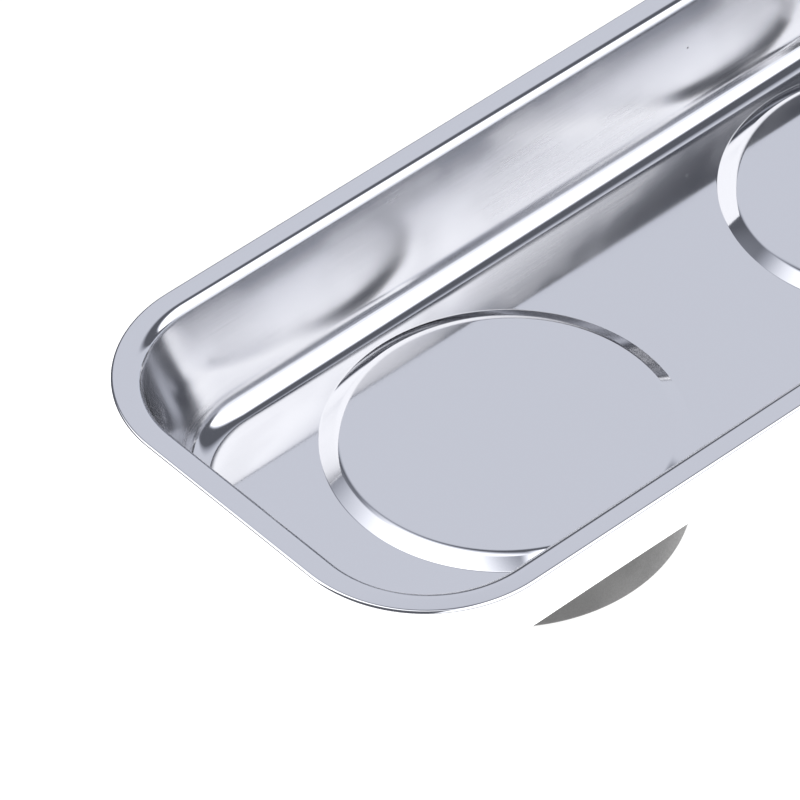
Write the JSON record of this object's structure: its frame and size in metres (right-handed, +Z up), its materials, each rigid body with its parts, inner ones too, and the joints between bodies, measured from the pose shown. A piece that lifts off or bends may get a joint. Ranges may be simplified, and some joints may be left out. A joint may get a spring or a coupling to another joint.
{
  "type": "magnetic parts sorting tray",
  "caption": "Deep-drawn rectangular steel tray with rounded corners, a lipped rim and raised round seats over rubber-booted ring magnets.",
  "frame": {"origin": "centre of the bounding box in plan, on the plane the rubber boots stand on", "axes": "+X along the tray's length, +Y across its width, +Z up through the open top"},
  "size_m": [0.324, 0.14, 0.0578],
  "materials": {
    "pan": "bright polished stainless sheet with faint drawing marks on the walls",
    "plated_steel": "zinc-plated steel",
    "ferrite": "matt sintered ferrite",
    "boot": "matt black moulded rubber"
  },
  "bodies": {
    "root": {"tray_pan": "pan", "left_weld_stud": "plated_steel", "left_locating_disc": "plated_steel", "left_ring_magnet": "ferrite", "left_keeper_plate": "plated_steel", "left_clamp_washer": "plated_steel", "left_lock_nut": "plated_steel", "left_rubber_boot": "boot", "right_weld_stud": "plated_steel", "right_locating_disc": "plated_steel", "right_ring_magnet": "ferrite", "right_keeper_plate": "plated_steel", "right_clamp_washer": "plated_steel", "right_lock_nut": "plated_steel", "right_rubber_boot": "boot"}
  },
  "joints": []
}
